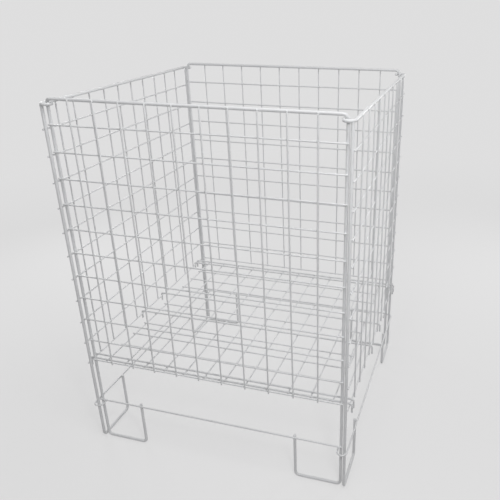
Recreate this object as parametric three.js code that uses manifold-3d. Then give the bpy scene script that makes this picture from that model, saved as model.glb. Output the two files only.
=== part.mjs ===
// Folding wire dump bin: four welded-mesh panels linked at the corners, and a shelf hung between the sides.
// Millimetres, +Z up, the floor at z = 0, the front towards -Y, the origin at the middle of the plan.
import * as THREE from 'three';
import { mergeVertices } from 'three/addons/utils/BufferGeometryUtils.js';
import Module from 'manifold-3d';

const wasm = await Module();
wasm.setup();

// Rods and wires, by diameter
const FRAME_ROD = 6;
const LOWER_ROD = 3.6;
const MESH_WIRE = 3;
const HOOK_WIRE = 4;

// Mesh of a panel
const MESH_PITCH = 50;
const MESH_VERTICALS = 10;
const MESH_ROWS = 11;
const END_CELL = 46;
const TOP_CELL = 45;
const WIRE_TIP = 3.5;

// Heights of a panel
const ROW_TO_LOWER_RAIL = 104;
const LOWER_RAIL_TO_FLOOR = 104;
const SIDE_DROP = 9;
const LEG_TIP = 4;

// Bends, measured to the middle of the rod
const FRAME_BEND = 9;
const HOOK_BEND = 4.5;

// Corners: how far a side panel's upright stands outside and ahead of the front panel's
const CORNER_OUT = 8.5;
const CORNER_AHEAD = 6;
const HOOK_CLEARANCE = 1.2;
const LOOP_CLEARANCE = 1;
const LOOP_REACH = 2;
const HOOK_TAIL = 3;

// Shelf
const SHELF_LONG_WIRES = 12;
const SHELF_LONG_SPAN = 501.6;
const SHELF_CROSS_WIRES = 11;
const SHELF_EDGE_STEP = 14;
const SHELF_CLEARANCE = 4.2;
const SHELF_TIP = 4;
const HOOK_DROP = 20;
const HOOK_SLACK = 1;

// Fits: the gap between pieces that touch, and how deep a welded wire sinks into the next
const GAP = 0.3;
const WELD_SINK = 0.5;

// Facets
const ROD_SIDES = 8;
const WIRE_SIDES = 6;
const BEND_STEPS = 4;
const LOOP_STEPS = 8;

const COAT = { color: 0xeceded, roughness: 0.45, metalness: 0.05 };

// Sizes that follow
const rodRadius = FRAME_ROD / 2;
const lowerRadius = LOWER_ROD / 2;
const wireRadius = MESH_WIRE / 2;
const hookRadius = HOOK_WIRE / 2;
const wireFlat = wireRadius * Math.cos(Math.PI / WIRE_SIDES);
const verticalCount = Math.round(MESH_VERTICALS);
const rowCount = Math.round(MESH_ROWS);
const longCount = Math.round(SHELF_LONG_WIRES);
const crossCount = Math.round(SHELF_CROSS_WIRES);
const panelWidth = (verticalCount - 1) * MESH_PITCH + 2 * END_CELL;
const halfWidth = panelWidth / 2;
const footRun = END_CELL + MESH_PITCH;
const frontPlane = halfWidth - CORNER_AHEAD;
const sidePlane = halfWidth + CORNER_OUT;

// Layers of a panel, measured outwards from the plane of its uprights
const rowLayer = rodRadius + GAP + wireRadius;
const verticalLayer = rowLayer + MESH_WIRE - WELD_SINK;
const railLayer = verticalLayer - wireRadius - GAP - rodRadius;
const lowerLayer = rodRadius + GAP + lowerRadius;

const meshHeight = TOP_CELL + (rowCount - 1) * MESH_PITCH;
const frontRailHeight = LOWER_RAIL_TO_FLOOR + ROW_TO_LOWER_RAIL + meshHeight;
const uprightTop = frontRailHeight - SIDE_DROP - rodRadius - GAP;
const rowHeight = (row, drop) => frontRailHeight - drop - TOP_CELL - (row - 1) * MESH_PITCH;
const lowerRailHeight = (drop) => LOWER_RAIL_TO_FLOOR - drop;

const point = (x, y, z) => new THREE.Vector3(x, y, z);

// A rod's middle line: the points as given, with no others added between them.
class RodPath extends THREE.Curve {
  constructor(points) {
    super();
    this.points = points;
  }

  getPoint(t, target = new THREE.Vector3()) {
    const last = this.points.length - 1;
    const start = Math.min(Math.floor(t * last), last - 1);
    return target.lerpVectors(this.points[start], this.points[start + 1], t * last - start);
  }

  getSpacedPoints() {
    return this.points;
  }

  // At a bend the tangent halves the angle between the two runs.
  getTangentAt(u, target = new THREE.Vector3()) {
    const last = this.points.length - 1;
    const here = Math.round(u * last);
    const before = this.points[Math.max(here - 1, 0)];
    const at = this.points[here];
    const after = this.points[Math.min(here + 1, last)];
    const into = at.clone().sub(before).normalize();
    const out = after.clone().sub(at).normalize();
    return target.copy(into).add(out).normalize();
  }
}

// Points on a round bend in the plane of two directions, from one tangent point to the next.
function bend(centre, from, towards, angle, steps) {
  const points = [];
  for (let step = 0; step <= steps; step += 1) {
    const turn = (angle * step) / steps;
    const arm = from.clone().multiplyScalar(Math.cos(turn));
    arm.addScaledVector(towards, Math.sin(turn));
    points.push(centre.clone().add(arm));
  }
  return points;
}

// A regular section with flats square to the path's plane, as wide across its flats as the rod.
function rodSection(diameter) {
  const radius = diameter / 2 / Math.cos(Math.PI / ROD_SIDES);
  const corners = [];
  for (let side = 0; side < ROD_SIDES; side += 1) {
    const angle = ((side + 0.5) * 2 * Math.PI) / ROD_SIDES;
    corners.push(new THREE.Vector2(radius * Math.cos(angle), radius * Math.sin(angle)));
  }
  return new THREE.Shape(corners);
}

function rodGeometry(points, diameter) {
  return new THREE.ExtrudeGeometry(rodSection(diameter), {
    steps: points.length - 1,
    extrudePath: new RodPath(points),
  });
}

// A straight wire from one end to the other, with a corner of its section facing along ridge.
function wireGeometry(start, end, ridge) {
  const along = end.clone().sub(start);
  const geometry = new THREE.CylinderGeometry(wireRadius, wireRadius, along.length(), WIRE_SIDES);
  const axis = along.normalize();
  const across = new THREE.Vector3().crossVectors(axis, ridge);
  geometry.applyMatrix4(new THREE.Matrix4().makeBasis(across, axis, ridge));
  const middle = start.clone().add(end).multiplyScalar(0.5);
  return geometry.translate(middle.x, middle.y, middle.z);
}

function solidOf(geometry) {
  const bare = geometry.clone();
  bare.deleteAttribute('normal');
  bare.deleteAttribute('uv');
  const merged = mergeVertices(bare, 1e-4);
  return new wasm.Manifold(new wasm.Mesh({
    numProp: 3,
    vertProperties: new Float32Array(merged.attributes.position.array),
    triVerts: new Uint32Array(merged.index.array),
  }));
}

// Joins wires that cross and are welded into one body.
function welded(geometries) {
  const whole = geometries.map(solidOf).reduce((body, wire) => body.add(wire));
  const mesh = whole.getMesh();
  const geometry = new THREE.BufferGeometry();
  geometry.setAttribute('position', new THREE.BufferAttribute(mesh.vertProperties, mesh.numProp));
  geometry.setIndex(new THREE.BufferAttribute(mesh.triVerts, 1));
  geometry.computeVertexNormals();
  return geometry;
}

function piece(name, geometry) {
  const mesh = new THREE.Mesh(geometry, new THREE.MeshStandardMaterial(COAT));
  mesh.name = name;
  return mesh;
}

// A panel's own frame: X along its width, Z up, -Y outwards, the uprights' plane at y = 0.

// An upright with its foot loop, from the tip of the short leg to the upright's top. side is -1 or 1.
function uprightPoints(side, legTop) {
  const upright = side * halfWidth;
  const leg = side * (halfWidth - footRun);
  const inwards = point(-side, 0, 0);
  const outwards = point(side, 0, 0);
  const floor = rodRadius;
  const down = point(0, 0, -1);
  const legBend = point(leg + side * FRAME_BEND, 0, floor + FRAME_BEND);
  const uprightBend = point(upright - side * FRAME_BEND, 0, floor + FRAME_BEND);
  return [
    point(leg, 0, legTop),
    ...bend(legBend, inwards.multiplyScalar(FRAME_BEND), down.clone().multiplyScalar(FRAME_BEND),
      Math.PI / 2, BEND_STEPS),
    ...bend(uprightBend, down.multiplyScalar(FRAME_BEND), outwards.multiplyScalar(FRAME_BEND),
      Math.PI / 2, BEND_STEPS),
    point(upright, 0, uprightTop),
  ];
}

// The front or back panel's top rail. It lies a little outside the uprights, on the wires' level, and its ends
// bend down and inwards to stand on the uprights.
function bentRail() {
  const up = point(0, 0, FRAME_BEND);
  const half = (side) => {
    const centre = point(side * (halfWidth - FRAME_BEND), 0, frontRailHeight - FRAME_BEND);
    const corner = bend(centre, point(side * FRAME_BEND, 0, 0), up, Math.PI / 2, BEND_STEPS);
    corner.forEach((place, step) => {
      place.y = (-railLayer * step) / BEND_STEPS;
    });
    return [point(side * halfWidth, 0, uprightTop + GAP), ...corner];
  };
  return rodGeometry([...half(-1), ...half(1).reverse()], FRAME_ROD);
}

// A side panel's rail with both ends bent back into open hooks: out along the panel, round a half circle,
// and back on its inner side. lineY and backY are the two legs' places, ahead is where the half circle starts
// and tailEnd where the hook ends, both measured inwards from the panel's upright.
function hookedRailPoints(lineY, backY, ahead, tailEnd, height) {
  const radius = (backY - lineY) / 2;
  const half = (side) => {
    const centre = point(side * (halfWidth - ahead), (backY + lineY) / 2, height);
    const across = point(0, radius, 0);
    const outwards = point(side * radius, 0, 0);
    return [
      point(side * (halfWidth - tailEnd), backY, height),
      ...bend(centre, across, outwards, Math.PI, LOOP_STEPS),
    ];
  };
  return [...half(-1), ...half(1).reverse()];
}

function hookedRail() {
  const backY = CORNER_OUT + FRAME_ROD + HOOK_CLEARANCE;
  const radius = (backY + railLayer) / 2;
  const centreY = (backY - railLayer) / 2;
  const ahead = Math.sqrt(radius * radius - centreY * centreY);
  const height = frontRailHeight - SIDE_DROP;
  return rodGeometry(hookedRailPoints(-railLayer, backY, ahead, CORNER_AHEAD + HOOK_TAIL, height), FRAME_ROD);
}

function loopedLowerRail() {
  const backY = CORNER_OUT + rodRadius + LOOP_CLEARANCE + lowerRadius;
  const height = lowerRailHeight(SIDE_DROP);
  const points = hookedRailPoints(-lowerLayer, backY, -LOOP_REACH, CORNER_AHEAD + HOOK_TAIL, height);
  return rodGeometry(points, LOWER_ROD);
}

function straightLowerRail() {
  const reach = halfWidth + rodRadius;
  const height = lowerRailHeight(0);
  const points = [point(-reach, -lowerLayer, height), point(reach, -lowerLayer, height)];
  return rodGeometry(points, LOWER_ROD);
}

// The rows lie on the uprights' outer side and the vertical wires on the rows' outer side.
function panelMesh(drop) {
  const wires = [];
  const outwards = point(0, -1, 0);
  const reach = halfWidth + rodRadius;
  for (let row = 1; row <= rowCount; row += 1) {
    const height = rowHeight(row, drop);
    wires.push(wireGeometry(point(-reach, -rowLayer, height), point(reach, -rowLayer, height), outwards));
  }
  const bottom = rowHeight(rowCount, drop) - WIRE_TIP;
  const top = frontRailHeight - drop + rodRadius / 2;
  for (let column = 0; column < verticalCount; column += 1) {
    const x = -halfWidth + END_CELL + column * MESH_PITCH;
    wires.push(wireGeometry(point(x, -verticalLayer, bottom), point(x, -verticalLayer, top), outwards));
  }
  return welded(wires);
}

// A panel of uprights, rails and mesh. endNames are its uprights at the -X and +X ends.
function makePanel(name, endNames, drop, topRail, lowerRail) {
  const panel = new THREE.Group();
  endNames.forEach((end, index) => {
    const side = 2 * index - 1;
    const points = uprightPoints(side, lowerRailHeight(drop) + LEG_TIP);
    panel.add(piece(`${name}_${end}_upright`, rodGeometry(points, FRAME_ROD)));
  });
  panel.add(piece(`${name}_top_rail`, topRail));
  panel.add(piece(`${name}_lower_rail`, lowerRail));
  panel.add(piece(`${name}_mesh`, panelMesh(drop)));
  return panel;
}

function frontPanel(name, endNames) {
  return makePanel(name, endNames, 0, bentRail(), straightLowerRail());
}

function sidePanel(name, endNames) {
  return makePanel(name, endNames, SIDE_DROP, hookedRail(), loopedLowerRail());
}

function place(panel, x, y, turn) {
  panel.position.set(x, y, 0);
  panel.rotation.z = turn;
  return panel;
}

// The shelf hangs on one row of each side panel by its six hook wires. The long wires are welded under them.
function shelf() {
  const group = new THREE.Group();
  const hookHeight = rowHeight(rowCount, SIDE_DROP) + wireFlat + GAP + hookRadius;
  const longHeight = hookHeight - hookRadius - GAP - wireRadius;
  const crossHeight = longHeight + MESH_WIRE - WELD_SINK;
  const edge = frontPlane - rodRadius - SHELF_CLEARANCE - hookRadius;
  const hookReach = sidePlane + rowLayer + wireRadius + HOOK_SLACK + hookRadius;
  const longReach = SHELF_LONG_SPAN / 2;
  const crossReach = edge - SHELF_EDGE_STEP;
  const spaced = (number, count, reach) => reach * ((2 * number) / (count - 1) - 1);
  const up = point(0, 0, 1);

  const wires = [];
  for (let number = 0; number < longCount; number += 1) {
    const x = spaced(number, longCount, longReach);
    const reach = edge + SHELF_TIP;
    wires.push(wireGeometry(point(x, -reach, longHeight), point(x, reach, longHeight), up));
  }
  // The first and last cross wires and the two beside the middle are hook wires, as are two more at the edges.
  const middle = (crossCount - 1) / 2;
  const hooked = [0, Math.ceil(middle) - 1, Math.floor(middle) + 1, crossCount - 1];
  const hookPlaces = [-edge, edge];
  for (let number = 0; number < crossCount; number += 1) {
    const y = spaced(number, crossCount, crossReach);
    const reach = longReach + SHELF_TIP;
    if (hooked.includes(number)) {
      hookPlaces.push(y);
    } else {
      wires.push(wireGeometry(point(-reach, y, crossHeight), point(reach, y, crossHeight), up));
    }
  }
  group.add(piece('shelf_mesh', welded(wires)));

  hookPlaces.sort((one, other) => one - other);
  hookPlaces.forEach((y, index) => {
    group.add(piece(`shelf_hook_wire_${index + 1}`, hookWire(y, hookReach, hookHeight)));
  });
  return group;
}

function hookWire(y, reach, height) {
  const half = (side) => {
    const centre = point(side * (reach - HOOK_BEND), y, height - HOOK_BEND);
    const outwards = point(side * HOOK_BEND, 0, 0);
    return [
      point(side * reach, y, height - HOOK_DROP),
      ...bend(centre, outwards, point(0, 0, HOOK_BEND), Math.PI / 2, BEND_STEPS),
    ];
  };
  return rodGeometry([...half(-1), ...half(1).reverse()], HOOK_WIRE);
}

const bin = new THREE.Group();
bin.add(place(frontPanel('front', ['left', 'right']), 0, -frontPlane, 0));
bin.add(place(sidePanel('right', ['front', 'back']), sidePlane, 0, Math.PI / 2));
bin.add(place(frontPanel('back', ['right', 'left']), 0, frontPlane, Math.PI));
bin.add(place(sidePanel('left', ['back', 'front']), -sidePlane, 0, -Math.PI / 2));
bin.add(shelf());

export default bin;
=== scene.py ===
"""White wire dump bin: round coated rods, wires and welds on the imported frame."""
import math

import bpy
import numpy as np
from mathutils import Matrix


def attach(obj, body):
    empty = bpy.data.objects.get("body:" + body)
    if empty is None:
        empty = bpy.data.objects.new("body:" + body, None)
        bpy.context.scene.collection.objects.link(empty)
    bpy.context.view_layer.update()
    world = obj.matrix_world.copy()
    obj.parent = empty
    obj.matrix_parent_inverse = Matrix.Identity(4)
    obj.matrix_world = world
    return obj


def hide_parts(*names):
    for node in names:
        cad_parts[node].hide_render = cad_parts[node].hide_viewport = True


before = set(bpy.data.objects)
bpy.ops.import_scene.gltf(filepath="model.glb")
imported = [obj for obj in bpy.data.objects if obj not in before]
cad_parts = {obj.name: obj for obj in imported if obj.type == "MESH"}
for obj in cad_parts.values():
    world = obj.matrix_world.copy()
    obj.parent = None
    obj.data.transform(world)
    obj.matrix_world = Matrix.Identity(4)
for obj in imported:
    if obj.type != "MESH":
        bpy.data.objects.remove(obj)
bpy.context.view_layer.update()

# Sizes of the bin in millimetres, as in the part's source
MM = 0.001
FRAME_ROD = 6.0
LOWER_ROD = 3.6
MESH_WIRE = 3.0
HOOK_WIRE = 4.0
MESH_PITCH = 50.0
MESH_VERTICALS = 10
MESH_ROWS = 11
END_CELL = 46.0
TOP_CELL = 45.0
WIRE_TIP = 3.5
RAIL_HEIGHT = 753.0
LOWER_RAIL_HEIGHT = 104.0
SIDE_DROP = 9.0
LEG_TIP = 4.0
FRAME_BEND = 9.0
HOOK_BEND = 4.5
CORNER_OUT = 8.5
CORNER_AHEAD = 6.0
HOOK_CLEARANCE = 1.2
LOOP_CLEARANCE = 1.0
LOOP_REACH = 2.0
HOOK_TAIL = 3.0
SHELF_LONG_WIRES = 12
SHELF_LONG_SPAN = 501.6
SHELF_CROSS_WIRES = 11
SHELF_EDGE_STEP = 14.0
SHELF_CLEARANCE = 4.2
SHELF_TIP = 4.0
HOOK_DROP = 20.0
HOOK_SLACK = 1.0
GAP = 0.3
WELD_SINK = 0.5

# Sizes that follow from them
ROD = FRAME_ROD / 2
LOWER = LOWER_ROD / 2
WIRE = MESH_WIRE / 2
HOOK = HOOK_WIRE / 2
WIRE_FLAT = WIRE * math.cos(math.pi / 6)
HALF_WIDTH = ((MESH_VERTICALS - 1) * MESH_PITCH + 2 * END_CELL) / 2
FOOT_RUN = END_CELL + MESH_PITCH
FRONT_PLANE = HALF_WIDTH - CORNER_AHEAD
SIDE_PLANE = HALF_WIDTH + CORNER_OUT
ROW_LAYER = ROD + GAP + WIRE
VERTICAL_LAYER = ROW_LAYER + MESH_WIRE - WELD_SINK
RAIL_LAYER = VERTICAL_LAYER - WIRE - GAP - ROD
LOWER_LAYER = ROD + GAP + LOWER
UPRIGHT_TOP = RAIL_HEIGHT - SIDE_DROP - ROD - GAP
SHELF_EDGE = FRONT_PLANE - ROD - SHELF_CLEARANCE - HOOK
LAST_ROW = TOP_CELL + (MESH_ROWS - 1) * MESH_PITCH
HOOK_HEIGHT = RAIL_HEIGHT - SIDE_DROP - LAST_ROW + WIRE_FLAT + GAP + HOOK
LONG_HEIGHT = HOOK_HEIGHT - HOOK - GAP - WIRE
CROSS_HEIGHT = LONG_HEIGHT + MESH_WIRE - WELD_SINK
HOOK_REACH = SIDE_PLANE + ROW_LAYER + WIRE + HOOK_SLACK + HOOK

# Each panel: quarter turns about Z, middle of its uprights' plane, drop, and its two ends' names
PANELS = {
    "front": (0, (0.0, -FRONT_PLANE), 0.0, ("left", "right")),
    "right": (1, (SIDE_PLANE, 0.0), SIDE_DROP, ("front", "back")),
    "back": (2, (0.0, FRONT_PLANE), 0.0, ("right", "left")),
    "left": (3, (-SIDE_PLANE, 0.0), SIDE_DROP, ("back", "front")),
}

# Weld beads in millimetres: how far each kind reaches along the panel's or the shelf's X, Y and Z
CROSSING_BEAD = (1.6, 0.8, 1.6)
UPRIGHT_BEAD = (2.0, 0.8, 1.7)
RAIL_BEAD = (1.65, 0.7, 1.9)
RAIL_BEAD_DROP = 0.4
LOWER_BEAD = (2.6, 1.0, 2.3)
TOP_BEAD = (3.45, 3.45, 1.5)
SHELF_CROSSING_BEAD = (1.6, 1.6, 0.8)
SHELF_HOOK_BEAD = (1.7, 2.1, 0.8)

# The beads' unevenness, as shares of their reach
BEAD_OVAL = 0.1
BEAD_DENT = 0.06
BEAD_GROWTH = (0.9, 1.1)

# The wires' stray from straight: its size, each wire's share of it, and each wave's run per radian
STRAY = 0.45
STRAY_SHARE = (0.3, 1.0)
SLOW_WAVE = 190.0
QUICK_WAVE = 75.0

# Starts of the random draws
FIRST_PANEL_SEED = 3
PANEL_SEED_STEP = 10
SHELF_SEED = 71

# Facets of the drawn pieces, and the depth of a rod's rounded end as a share of its radius
ROD_SIDES = 24
WIRE_SIDES = 14
HOOK_SIDES = 18
BEND_STEPS = 14
LOOP_STEPS = 26
END_RINGS = 5
BEAD_RINGS = 5
BEAD_SIDES = 10
TOP_BEAD_RINGS = 9
END_DEPTH = 0.3

X = np.array([1.0, 0.0, 0.0])
Y = np.array([0.0, 1.0, 0.0])
Z = np.array([0.0, 0.0, 1.0])


def arc(centre, start, towards, angle, steps):
    """A round bend: centre + start cos(a) + towards sin(a), for a from nought to angle."""
    a = np.linspace(0.0, angle, steps + 1)[:, None]
    return np.asarray(centre) + np.asarray(start) * np.cos(a) + np.asarray(towards) * np.sin(a)


def unit(vectors):
    """Each vector divided by its length."""
    return vectors / np.linalg.norm(vectors, axis=-1, keepdims=True)


def rod(path, radius, across, sides=ROD_SIDES):
    """A round rod along a path, with both ends rounded over as a cut and coated end is.

    Ring i is path[i] + r[i] (cos(v) n + sin(v) t x n), with t the path's tangent and n the part
    of across that is square to it. Over each end the radius falls as the square root of cos(a)
    while the ring moves out by END_DEPTH radii times sin(a), so the rod keeps its length and
    closes in one point.
    """
    path = np.asarray(path, float)
    runs = unit(np.diff(path, axis=0))
    tangent = unit(np.vstack([runs[:1], runs[:-1] + runs[1:], runs[-1:]]))
    depth = END_DEPTH * radius
    path = path.copy()
    path[0] += depth * tangent[0]
    path[-1] -= depth * tangent[-1]
    a = np.linspace(0.0, math.pi / 2, END_RINGS + 1)[1:-1]
    out = (depth * np.sin(a))[:, None]
    narrow = np.sqrt(np.cos(a))
    first = (path[0] - out * tangent[0])[::-1]
    last = path[-1] + out * tangent[-1]
    stations = np.vstack([first, path, last])
    ends = len(a)
    ahead = np.vstack([
        np.repeat(tangent[:1], ends, 0),
        tangent,
        np.repeat(tangent[-1:], ends, 0),
    ])
    size = radius * np.concatenate([narrow[::-1], np.ones(len(path)), narrow])
    side = unit(across - ahead * (ahead @ across)[:, None])
    other = np.cross(ahead, side)
    v = np.linspace(0.0, 2 * math.pi, sides, endpoint=False)
    ring = np.cos(v)[None, :, None] * side[:, None] + np.sin(v)[None, :, None] * other[:, None]
    points = (stations[:, None] + size[:, None, None] * ring).reshape(-1, 3)
    tips = np.array([path[0] - depth * tangent[0], path[-1] + depth * tangent[-1]])
    return np.vstack([points, tips]), skin(len(stations), sides)


def skin(rings, sides):
    """Faces of a closed tube: quads between its rings, and triangles to one point at each end."""
    i, j = np.meshgrid(np.arange(rings - 1), np.arange(sides), indexing="ij")
    k = (j + 1) % sides
    near = i * sides
    far = near + sides
    quads = np.stack([near + j, near + k, far + k, far + j], -1).reshape(-1, 4)
    v = np.arange(sides)
    w = (v + 1) % sides
    tip = rings * sides
    last = (rings - 1) * sides
    low = np.stack([np.full(sides, tip), w, v], -1)
    high = np.stack([np.full(sides, tip + 1), last + v, last + w], -1)
    return quads.tolist() + low.tolist() + high.tolist()


def joined(shapes):
    """One list of points and faces from several."""
    points = []
    faces = []
    start = 0
    for shape_points, shape_faces in shapes:
        points.append(shape_points)
        faces.extend([[start + corner for corner in face] for face in shape_faces])
        start += len(shape_points)
    return np.vstack(points), faces


def beads(centres, reach, seed, rings=BEAD_RINGS, sides=BEAD_SIDES):
    """Weld beads: lumps round each centre, reach away along X, Y and Z.

    On the unit ball a point at angles (u, v) stands at
    1 + (BEAD_OVAL sin(2u + p) + BEAD_DENT cos(3u + q)) sin(v), times a growth near one.
    p, q and the growth are each bead's own, so no two beads are alike.
    """
    centres = np.asarray(centres, float)
    reach = np.asarray(reach)
    count = len(centres)
    v = np.linspace(math.pi, 0.0, rings + 2)[1:-1]
    u = np.linspace(0.0, 2 * math.pi, sides, endpoint=False)
    vv, uu = (grid.ravel() for grid in np.meshgrid(v, u, indexing="ij"))
    ball = np.stack([np.cos(uu) * np.sin(vv), np.sin(uu) * np.sin(vv), np.cos(vv)], -1)
    draw = np.random.default_rng(seed)
    p, q = draw.uniform(0.0, 2 * math.pi, (2, count, 1))
    grow = draw.uniform(*BEAD_GROWTH, (count, 1))
    uneven = BEAD_OVAL * np.sin(2 * uu + p) + BEAD_DENT * np.cos(3 * uu + q)
    lump = grow * (1 + uneven * np.sin(vv))
    body = centres[:, None] + lump[..., None] * ball[None] * reach
    tips = centres[:, None] + np.stack([-Z, Z]) * reach * grow[..., None]
    points = np.concatenate([body, tips], 1)
    each = points.shape[1]
    faces = skin(rings, sides)
    whole = [[bead * each + corner for corner in face] for bead in range(count) for face in faces]
    return points.reshape(-1, 3), whole


def sway(places, number, seed):
    """A wire's stray in millimetres: a slow wave plus half a quick one, with its own phases."""
    draw = np.random.default_rng((seed, number))
    phase = draw.uniform(0.0, 2 * math.pi, 2)
    size = STRAY * draw.uniform(*STRAY_SHARE, 2)
    slow = size[0] * np.sin(places / SLOW_WAVE + phase[0])
    quick = size[1] * np.sin(places / QUICK_WAVE + phase[1])
    return slow + quick / 2


# A panel's own frame, as in the part's source: X along it, Z up, -Y outwards, uprights at y = 0

def turned(points, name):
    """Turns a panel's points about Z by its quarter turns and moves them to its place."""
    turns, (x, y), _, _ = PANELS[name]
    cos, sin = ((1, 0), (0, 1), (-1, 0), (0, -1))[turns]
    px, py, pz = np.asarray(points).T
    return np.stack([cos * px - sin * py + x, sin * px + cos * py + y, pz], -1)


def upright_path(side, drop):
    """Short leg's tip, foot bend, floor run, bend, and up to the top."""
    upright = side * HALF_WIDTH
    leg = side * (HALF_WIDTH - FOOT_RUN)
    bend = FRAME_BEND
    low = ROD + bend
    out = side * bend * X
    down = -bend * Z
    inner = arc((leg + side * bend, 0, low), -out, down, math.pi / 2, BEND_STEPS)
    outer = arc((upright - side * bend, 0, low), down, out, math.pi / 2, BEND_STEPS)
    tip = [(leg, 0, LOWER_RAIL_HEIGHT - drop + LEG_TIP)]
    return np.vstack([tip, inner, outer, [(upright, 0, UPRIGHT_TOP)]])


def bent_rail_path():
    """Up off one upright, over a bend, along, and over a second bend onto the other upright.

    Over each bend the rod moves out to the rail's layer by the smooth step 3s^2 - 2s^3.
    """
    bend = FRAME_BEND

    def half(side):
        """One end: the upright's top, then the bend."""
        centre = (side * (HALF_WIDTH - bend), 0, RAIL_HEIGHT - bend)
        corner = arc(centre, side * bend * X, bend * Z, math.pi / 2, BEND_STEPS)
        part = np.linspace(0.0, 1.0, BEND_STEPS + 1)
        corner[:, 1] = -RAIL_LAYER * part * part * (3 - 2 * part)
        return np.vstack([[(side * HALF_WIDTH, 0, UPRIGHT_TOP + GAP)], corner])

    return np.vstack([half(-1), half(1)[::-1]])


def hooked_path(line, back, ahead, tail, height):
    """A rail whose ends go round half circles: tail, half circle, along, half circle, tail."""
    radius = (back - line) / 2

    def half(side):
        """One end: the tail, then the half circle."""
        centre = (side * (HALF_WIDTH - ahead), (back + line) / 2, height)
        turn = arc(centre, radius * Y, side * radius * X, math.pi, LOOP_STEPS)
        return np.vstack([[(side * (HALF_WIDTH - tail), back, height)], turn])

    return np.vstack([half(-1), half(1)[::-1]])


def top_rail_path(drop):
    """A bent rail on the front and back panels, and a hooked one on the dropped side panels."""
    if not drop:
        return bent_rail_path()
    back = CORNER_OUT + FRAME_ROD + HOOK_CLEARANCE
    ahead = math.sqrt(((back + RAIL_LAYER) / 2) ** 2 - ((back - RAIL_LAYER) / 2) ** 2)
    tail = CORNER_AHEAD + HOOK_TAIL
    return hooked_path(-RAIL_LAYER, back, ahead, tail, RAIL_HEIGHT - drop)


def lower_rail_path(drop):
    """A straight rail on the front and back panels, and a looped one on the side panels."""
    height = LOWER_RAIL_HEIGHT - drop
    if not drop:
        reach = HALF_WIDTH + ROD
        return np.array([(-reach, -LOWER_LAYER, height), (reach, -LOWER_LAYER, height)])
    back = CORNER_OUT + ROD + LOOP_CLEARANCE + LOWER
    return hooked_path(-LOWER_LAYER, back, -LOOP_REACH, CORNER_AHEAD + HOOK_TAIL, height)


def wire_columns():
    """Places along X of a panel's vertical wires, a pitch apart about its middle."""
    return (np.arange(MESH_VERTICALS) - (MESH_VERTICALS - 1) / 2) * MESH_PITCH


def wire_rows(drop):
    """Heights of a panel's rows, a pitch apart down from the first cell under the rail."""
    return RAIL_HEIGHT - drop - TOP_CELL - MESH_PITCH * np.arange(MESH_ROWS)


def row_stations():
    """Places along a row: its first end, every vertical wire, and its last end."""
    reach = HALF_WIDTH + ROD
    return np.concatenate([[-reach], wire_columns(), [reach]])


def column_stations(drop):
    """Heights along a vertical wire: its foot, every row upwards, and its top."""
    bottom = RAIL_HEIGHT - drop - LAST_ROW - WIRE_TIP
    top = RAIL_HEIGHT - drop + ROD / 2
    return np.concatenate([[bottom], wire_rows(drop)[::-1], [top]])


def row_sway(number, seed):
    """A row's stray. The lowest row lies straight, because the shelf hangs on it."""
    along = row_stations()
    if number == MESH_ROWS - 1:
        return np.zeros(len(along))
    return sway(along, number, seed)


def column_sway(number, drop, seed):
    """A vertical wire's stray, with numbers that follow on from the rows'."""
    return sway(column_stations(drop), number + MESH_ROWS, seed)


def panel_wires(drop, seed):
    """Rows and vertical wires, each a thin rod that strays a little within the panel's plane."""
    shapes = []
    along = row_stations()
    layer = np.full(len(along), -ROW_LAYER)
    for number, height in enumerate(wire_rows(drop)):
        path = np.stack([along, layer, height + row_sway(number, seed)], -1)
        shapes.append(rod(path, WIRE, Y, WIRE_SIDES))
    up = column_stations(drop)
    layer = np.full(len(up), -VERTICAL_LAYER)
    for number, x in enumerate(wire_columns()):
        path = np.stack([x + column_sway(number, drop, seed), layer, up], -1)
        shapes.append(rod(path, WIRE, Y, WIRE_SIDES))
    return joined(shapes)


def crossings(drop, seed):
    """Where a panel's strayed rows and vertical wires cross, row by row from the top."""
    zz, xx = np.meshgrid(wire_rows(drop), wire_columns(), indexing="ij")
    lift = np.stack([row_sway(number, seed)[1:-1] for number in range(MESH_ROWS)])
    shift = np.stack([column_sway(number, drop, seed)[1:-1] for number in range(MESH_VERTICALS)])
    layer = np.full(xx.shape, -(ROW_LAYER + VERTICAL_LAYER) / 2)
    return np.stack([xx + shift[:, ::-1].T, layer, zz + lift], -1).reshape(-1, 3)


def panel_welds(drop, seed):
    """Beads where wires cross each other, the uprights, the rails and the short legs."""
    sides = (-1, 1)
    on_rod = -(ROD + GAP / 2)
    on_rail = -(RAIL_LAYER + ROD + GAP / 2)
    rail = RAIL_HEIGHT - drop - RAIL_BEAD_DROP
    legs = [side * (HALF_WIDTH - run) for side in sides for run in (0.0, FOOT_RUN)]
    at_uprights = [(side * HALF_WIDTH, on_rod, z) for side in sides for z in wire_rows(drop)]
    at_rail = [(x, on_rail, rail) for x in wire_columns()]
    at_lower = [(x, on_rod, LOWER_RAIL_HEIGHT - drop) for x in legs]
    at_tops = [(side * HALF_WIDTH, 0.0, UPRIGHT_TOP + GAP / 2) for side in sides]
    return joined([
        beads(crossings(drop, seed), CROSSING_BEAD, seed),
        beads(at_uprights, UPRIGHT_BEAD, seed + 1),
        beads(at_rail, RAIL_BEAD, seed + 2),
        beads(at_lower, LOWER_BEAD, seed + 3),
        beads(at_tops, TOP_BEAD, seed + 4, TOP_BEAD_RINGS, ROD_SIDES),
    ])


def shelf_columns():
    """Places along X of the shelf's front-to-back wires, evenly spaced."""
    return np.linspace(-SHELF_LONG_SPAN / 2, SHELF_LONG_SPAN / 2, SHELF_LONG_WIRES)


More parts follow.
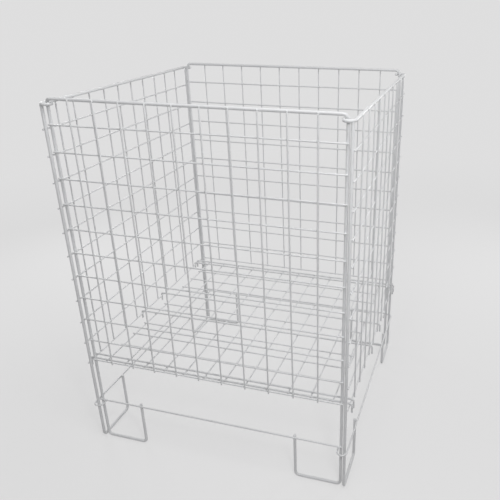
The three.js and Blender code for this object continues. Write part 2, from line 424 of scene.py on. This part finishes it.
def shelf_rows():
    """Places along Y of the plain cross wires and of the hook wires.

    The cross wires are evenly spaced, an edge step in from the two edge wires. The first, the
    last and the two beside the middle one have hooks, and so do the edge wires.
    """
    reach = SHELF_EDGE - SHELF_EDGE_STEP
    cross = np.linspace(-reach, reach, SHELF_CROSS_WIRES)
    middle = (SHELF_CROSS_WIRES - 1) // 2
    hooked = [0, middle - 1, middle + 1, SHELF_CROSS_WIRES - 1]
    hooks = np.concatenate([[-SHELF_EDGE, SHELF_EDGE], cross[hooked]])
    return np.delete(cross, hooked), np.sort(hooks)


def shelf_wires(seed):
    """The shelf's front-to-back wires and plain cross wires, each strayed within its layer."""
    plain, hooks = shelf_rows()
    shapes = []
    tip = SHELF_EDGE + SHELF_TIP
    along = np.concatenate([[-tip], np.sort(np.concatenate([plain, hooks])), [tip]])
    level = np.full(len(along), LONG_HEIGHT)
    for number, x in enumerate(shelf_columns()):
        path = np.stack([x + sway(along, number, seed), along, level], -1)
        shapes.append(rod(path, WIRE, Z, WIRE_SIDES))
    tip = SHELF_LONG_SPAN / 2 + SHELF_TIP
    along = np.concatenate([[-tip], shelf_columns(), [tip]])
    level = np.full(len(along), CROSS_HEIGHT)
    for number, y in enumerate(plain, SHELF_LONG_WIRES):
        path = np.stack([along, y + sway(along, number, seed), level], -1)
        shapes.append(rod(path, WIRE, Z, WIRE_SIDES))
    return joined(shapes)


def shelf_welds(seed):
    """Beads where the front-to-back wires meet the plain cross wires and the hook wires."""
    plain, hooks = shelf_rows()
    level = (LONG_HEIGHT + CROSS_HEIGHT) / 2
    at_plain = [(x, y, level) for x in shelf_columns() for y in plain]
    under = LONG_HEIGHT + WIRE + GAP / 2
    at_hooks = [(x, y, under) for x in shelf_columns() for y in hooks]
    return joined([
        beads(at_plain, SHELF_CROSSING_BEAD, seed),
        beads(at_hooks, SHELF_HOOK_BEAD, seed + 1),
    ])


def hook_path(y):
    """Up from one turned-down end, round the bend, across, and down at the other."""
    bend = HOOK_BEND

    def half(side):
        """One end: the turned-down tip, then the bend."""
        centre = (side * (HOOK_REACH - bend), y, HOOK_HEIGHT - bend)
        corner = arc(centre, side * bend * X, bend * Z, math.pi / 2, BEND_STEPS)
        return np.vstack([[(side * HOOK_REACH, y, HOOK_HEIGHT - HOOK_DROP)], corner])

    return np.vstack([half(-1), half(1)[::-1]])


# The white coat: lengths in metres, colours linear
COAT_WHITE = (0.74, 0.745, 0.755)
COAT_ROUGHNESS = (0.36, 0.52)
CLEAR_LAYER = 0.12
CLEAR_ROUGHNESS = 0.25
CLOUD_SHADE = 0.93
SPECK_SHADE = 0.62
SPECK_STRENGTH = 0.6
SCUFF_HEIGHT = (0.0004, 0.0016)
SCUFF_GREY = (0.33, 0.33, 0.32)
SCUFF_ROUGHNESS = (0.3, 0.7)
# The welds' coat a little darker than the white: painted shade where the wires cross
WELD_PAINTED_SHADE = 0.97

# The coat's noises: scale per metre, detail, and the two values between which each one shows
CLOUDS = (9.0, 3.0, (0.35, 0.7))
SPECKS = (420.0, 1.0, (0.74, 0.8))
GLOSS = (60.0, 4.0, (0.3, 0.7))
SCUFFS = (160.0, 3.0, (0.42, 0.55))

# The coat's orange peel, with the size of its ripples on each kind of piece
PEEL_DETAIL = 2.0
PEEL_STRENGTH = 0.4
PEEL_DEPTH = 0.00012
ROD_PEEL = 0.0011
WIRE_PEEL = 0.0008
WELD_PEEL = 0.0005


def nodes_of(owner):
    """The emptied node tree of a material or a world."""
    owner.use_nodes = True
    tree = owner.node_tree
    tree.nodes.clear()
    return tree


def ranged(tree, value, source, target):
    """A value carried from the range source to the range target, and held at its ends."""
    node = tree.nodes.new("ShaderNodeMapRange")
    for socket, number in zip(("From Min", "From Max"), source):
        node.inputs[socket].default_value = number
    for socket, number in zip(("To Min", "To Max"), target):
        node.inputs[socket].default_value = number
    tree.links.new(value, node.inputs["Value"])
    return node.outputs["Result"]


def worked_out(tree, operation, first, second):
    """One value worked out from two by the operation named."""
    node = tree.nodes.new("ShaderNodeMath")
    node.operation = operation
    tree.links.new(first, node.inputs[0])
    tree.links.new(second, node.inputs[1])
    return node.outputs[0]


def shaded(colour, share):
    """A colour times a share."""
    return tuple(share * part for part in colour)


def powder_coat(name, white, peel, scuffed=False):
    """White powder coat: fine orange peel, uneven gloss, faint cloudiness and a few dust specks.

    peel is the size of the peel's ripples in metres. A scuffed coat is rubbed grey in patches
    where its lowest millimetre drags on the floor.
    """
    material = bpy.data.materials.new(name)
    tree = nodes_of(material)
    make = tree.nodes.new
    link = tree.links.new
    output = make("ShaderNodeOutputMaterial")
    shader = make("ShaderNodeBsdfPrincipled")
    shader.inputs["Coat Weight"].default_value = CLEAR_LAYER
    shader.inputs["Coat Roughness"].default_value = CLEAR_ROUGHNESS
    link(shader.outputs["BSDF"], output.inputs["Surface"])
    place = make("ShaderNodeTexCoord")

    def noise(scale, detail):
        """Noise over the piece's own coordinates."""
        node = make("ShaderNodeTexNoise")
        node.inputs["Scale"].default_value = scale
        node.inputs["Detail"].default_value = detail
        link(place.outputs["Object"], node.inputs["Vector"])
        return node.outputs["Fac"]

    def pattern(kind, target):
        """A noise carried from where it shows to the range target."""
        scale, detail, shown = kind
        return ranged(tree, noise(scale, detail), shown, target)

    def mixed(factor, first, second):
        """The first colour, turned into the second by a factor."""
        node = make("ShaderNodeMix")
        node.data_type = "RGBA"
        link(factor, node.inputs["Factor"])
        for socket, colour in ((node.inputs[6], first), (node.inputs[7], second)):
            if isinstance(colour, tuple):
                socket.default_value = (*colour, 1.0)
            else:
                link(colour, socket)
        return node.outputs[2]

    colour = mixed(pattern(CLOUDS, (0.0, 1.0)), white, shaded(white, CLOUD_SHADE))
    specks = pattern(SPECKS, (0.0, SPECK_STRENGTH))
    colour = mixed(specks, colour, shaded(white, SPECK_SHADE))
    roughness = pattern(GLOSS, COAT_ROUGHNESS)
    if scuffed:
        split = make("ShaderNodeSeparateXYZ")
        link(place.outputs["Object"], split.inputs["Vector"])
        low = ranged(tree, split.outputs["Z"], SCUFF_HEIGHT, (1.0, 0.0))
        rubbed = worked_out(tree, "MULTIPLY", low, pattern(SCUFFS, (0.0, 1.0)))
        colour = mixed(rubbed, colour, SCUFF_GREY)
        dull = ranged(tree, rubbed, (0.0, 1.0), SCUFF_ROUGHNESS)
        roughness = worked_out(tree, "MAXIMUM", roughness, dull)
    link(colour, shader.inputs["Base Color"])
    link(roughness, shader.inputs["Roughness"])
    bump = make("ShaderNodeBump")
    bump.inputs["Strength"].default_value = PEEL_STRENGTH
    bump.inputs["Distance"].default_value = PEEL_DEPTH
    link(noise(1.0 / peel, PEEL_DETAIL), bump.inputs["Height"])
    link(bump.outputs["Normal"], shader.inputs["Normal"])
    return material


ROD_COAT = powder_coat("rod_coat", COAT_WHITE, ROD_PEEL)
FOOT_COAT = powder_coat("foot_coat", COAT_WHITE, ROD_PEEL, scuffed=True)
WIRE_COAT = powder_coat("wire_coat", COAT_WHITE, WIRE_PEEL)
# The welds get the white darkened by the weld share: painted shade at the crossings
PAINTED_SHADE_WELD_COAT = powder_coat("painted_shade_weld_coat", shaded(COAT_WHITE, WELD_PAINTED_SHADE), WELD_PEEL)


def piece(name, shape, material, body, node=None):
    """A smooth mesh in metres that rides on a body and may stand for a node."""
    points, faces = shape
    mesh = bpy.data.meshes.new(name)
    mesh.from_pydata((points * MM).tolist(), [], faces)
    mesh.polygons.foreach_set("use_smooth", np.ones(len(mesh.polygons), dtype=bool))
    mesh.materials.append(material)
    mesh.update()
    thing = bpy.data.objects.new(name, mesh)
    bpy.context.scene.collection.objects.link(thing)
    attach(thing, body)
    if node:
        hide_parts(node)


def make_panel(name, seed):
    """A panel's two uprights, two rails, mesh and welds, turned to its place."""
    _, _, drop, ends = PANELS[name]
    body = f"{name}_panel"

    def put(label, shape, material, node=None):
        """A piece in the panel's place."""
        points, faces = shape
        piece(label, (turned(points, name), faces), material, body, node)

    for side, end in zip((-1, 1), ends):
        node = f"{name}_{end}_upright"
        put(f"{node}_rod", rod(upright_path(side, drop), ROD, Y), FOOT_COAT, node)
    top_rail = rod(top_rail_path(drop), ROD, Z if drop else Y)
    put(f"{name}_top_rail_rod", top_rail, ROD_COAT, f"{name}_top_rail")
    lower_rail = rod(lower_rail_path(drop), LOWER, Z)
    put(f"{name}_lower_rail_rod", lower_rail, ROD_COAT, f"{name}_lower_rail")
    put(f"{name}_mesh_wires", panel_wires(drop, seed), WIRE_COAT, f"{name}_mesh")
    put(f"{name}_welds", panel_welds(drop, seed), PAINTED_SHADE_WELD_COAT)


for panel_number, panel_name in enumerate(PANELS):
    make_panel(panel_name, FIRST_PANEL_SEED + PANEL_SEED_STEP * panel_number)

piece("shelf_mesh_wires", shelf_wires(SHELF_SEED), WIRE_COAT, "shelf", "shelf_mesh")
for hook_number, hook_place in enumerate(shelf_rows()[1], 1):
    hook_node = f"shelf_hook_wire_{hook_number}"
    hook_wire = rod(hook_path(hook_place), HOOK, Y, HOOK_SIDES)
    piece(f"{hook_node}_rod", hook_wire, ROD_COAT, "shelf", hook_node)
piece("shelf_welds", shelf_welds(SHELF_SEED), PAINTED_SHADE_WELD_COAT, "shelf")


# Floor, backdrop, light and camera: lengths in metres, colours linear, lamps in watts

ROOM_COLOUR = (0.735, 0.733, 0.735)
WORLD_LIGHT = 0.41
PAPER_GREY = (0.6, 0.598, 0.6)
FLOOR_RADIUS = 6.0
FLOOR_SIDES = 96

# The room's share of the paper's look and its glow there, near and far over the blend's reach
PAPER_BLEND = (0.55, 1.0)
PAPER_GLOW = (1.27, 1.0)
BLEND_REACH = (0.5, 2.4)

# Square lamps that face the middle of the bin: place, side and power
BIN_MIDDLE = (0.0, 0.0, 0.4)
SOFTBOXES = {
    "overhead": ((0.3, -0.5, 1.9), 0.5, 8.5),
    "key": ((0.62, -0.98, 1.15), 0.14, 4.0),
    "rear_left": ((-1.1, 0.75, 0.75), 0.5, 4.5),
    "rear_right": ((0.9, 1.1, 0.75), 0.5, 4.5),
}

# A soft-edged beam on the right panel
FILL_PLACE = (1.6, -0.75, 1.55)
FILL_TARGET = (0.29, -0.05, 0.46)
FILL_CONE = math.radians(16.0)
FILL_EDGE = 1.0
FILL_RADIUS = 0.15
FILL_POWER = 32.0

# The camera, from a fit to the photograph: focal length and middle in pixels
FRAME_PIXELS = 500.0
CAMERA_TURN = math.radians(-16.36)
CAMERA_DOWN = math.radians(24.63)
CAMERA_ROLL = math.radians(-0.28)
CAMERA_PLACE = (0.4651, -1.1378, 0.9255)
CAMERA_FOCAL = 583.0
CAMERA_MIDDLE = (310.0, 256.0)


def seen_directly(tree):
    """One where a ray comes from the camera or a reflection, else nought."""
    path = tree.nodes.new("ShaderNodeLightPath")
    total = path.outputs["Is Camera Ray"]
    for name in ("Is Glossy Ray", "Is Transmission Ray"):
        total = worked_out(tree, "MAXIMUM", total, path.outputs[name])
    return total


def blended(tree, output, factor, first, second):
    """Gives an output a blend of two shaders."""
    blend = tree.nodes.new("ShaderNodeMixShader")
    tree.links.new(factor, blend.inputs["Fac"])
    tree.links.new(first.outputs[0], blend.inputs[1])
    tree.links.new(second.outputs[0], blend.inputs[2])
    tree.links.new(blend.outputs[0], output.inputs["Surface"])


def paper_material():
    """Matt pale paper, blended for the camera with the room's colour so that shadows stay faint.

    The blend grows with the distance from the bin, until the paper looks like the room behind it.
    """
    material = bpy.data.materials.new("backdrop_paper")
    tree = nodes_of(material)
    output = tree.nodes.new("ShaderNodeOutputMaterial")
    place = tree.nodes.new("ShaderNodeTexCoord")
    away = tree.nodes.new("ShaderNodeVectorMath")
    away.operation = "LENGTH"
    tree.links.new(place.outputs["Object"], away.inputs[0])
    distance = away.outputs["Value"]
    matt = tree.nodes.new("ShaderNodeBsdfDiffuse")
    matt.inputs["Color"].default_value = (*PAPER_GREY, 1.0)
    glow = tree.nodes.new("ShaderNodeEmission")
    glow.inputs["Color"].default_value = (*ROOM_COLOUR, 1.0)
    tree.links.new(ranged(tree, distance, BLEND_REACH, PAPER_GLOW), glow.inputs["Strength"])
    share = ranged(tree, distance, BLEND_REACH, PAPER_BLEND)
    factor = worked_out(tree, "MULTIPLY", seen_directly(tree), share)
    blended(tree, output, factor, matt, glow)
    return material


def paper_floor():
    """A round flat floor, which fades into the room's own colour before its rim."""
    turn = np.linspace(0.0, 2 * math.pi, FLOOR_SIDES, endpoint=False)
    rim = FLOOR_RADIUS * np.stack([np.cos(turn), np.sin(turn), np.zeros(len(turn))], -1)
    mesh = bpy.data.meshes.new("paper_floor")
    mesh.from_pydata(rim.tolist(), [], [list(range(len(turn)))])
    mesh.materials.append(paper_material())
    thing = bpy.data.objects.new("paper_floor", mesh)
    bpy.context.scene.collection.objects.link(thing)


def light_room():
    """A room that lights the bin evenly, and looks its own pale colour where it is seen."""
    world = bpy.data.worlds.new("room")
    bpy.context.scene.world = world
    tree = nodes_of(world)
    output = tree.nodes.new("ShaderNodeOutputWorld")
    lit = tree.nodes.new("ShaderNodeBackground")
    lit.inputs["Strength"].default_value = WORLD_LIGHT
    seen = tree.nodes.new("ShaderNodeBackground")
    seen.inputs["Color"].default_value = (*ROOM_COLOUR, 1.0)
    blended(tree, output, seen_directly(tree), lit, seen)


def stand(thing, right, up, back, place):
    """Puts a lamp or the camera at a place, with its own X, Y and Z along right, up and back."""
    rows = np.column_stack([right, up, back, place]).tolist()
    thing.matrix_world = Matrix(rows + [[0, 0, 0, 1]])
    bpy.context.scene.collection.objects.link(thing)


def hang_lamp(data, place, target):
    """Hangs a lamp that faces its target and isn't seen itself."""
    lamp = bpy.data.objects.new(data.name, data)
    lamp.visible_camera = False
    away = unit(np.asarray(place) - np.asarray(target))
    side = unit(np.cross(Z, away))
    stand(lamp, side, np.cross(away, side), away, place)


def hang_lamps():
    """The square lamps all round, and the beam."""
    for name, (place, side, power) in SOFTBOXES.items():
        box = bpy.data.lights.new(name, "AREA")
        box.shape = "SQUARE"
        box.size = side
        box.energy = power
        hang_lamp(box, place, BIN_MIDDLE)
    beam = bpy.data.lights.new("side_fill", "SPOT")
    beam.spot_size = FILL_CONE
    beam.spot_blend = FILL_EDGE
    beam.shadow_soft_size = FILL_RADIUS
    beam.energy = FILL_POWER
    hang_lamp(beam, FILL_PLACE, FILL_TARGET)


def aim_camera():
    """Looks along (sin a cos e, cos a cos e, -sin e), rolled about that line."""
    ahead = np.array([
        math.sin(CAMERA_TURN) * math.cos(CAMERA_DOWN),
        math.cos(CAMERA_TURN) * math.cos(CAMERA_DOWN),
        -math.sin(CAMERA_DOWN),
    ])
    right = np.array([math.cos(CAMERA_TURN), -math.sin(CAMERA_TURN), 0.0])
    up = np.cross(right, ahead)
    rolled = right * math.cos(CAMERA_ROLL) + up * math.sin(CAMERA_ROLL)
    raised = -right * math.sin(CAMERA_ROLL) + up * math.cos(CAMERA_ROLL)
    data = bpy.data.cameras.new("camera")
    data.sensor_fit = "HORIZONTAL"
    data.lens = CAMERA_FOCAL / FRAME_PIXELS * data.sensor_width
    data.shift_x = (FRAME_PIXELS / 2 - CAMERA_MIDDLE[0]) / FRAME_PIXELS
    data.shift_y = (CAMERA_MIDDLE[1] - FRAME_PIXELS / 2) / FRAME_PIXELS
    camera = bpy.data.objects.new("camera", data)
    stand(camera, rolled, raised, -ahead, CAMERA_PLACE)
    bpy.context.scene.camera = camera


paper_floor()
light_room()
hang_lamps()
aim_camera()
bpy.context.scene.view_settings.view_transform = "Standard"
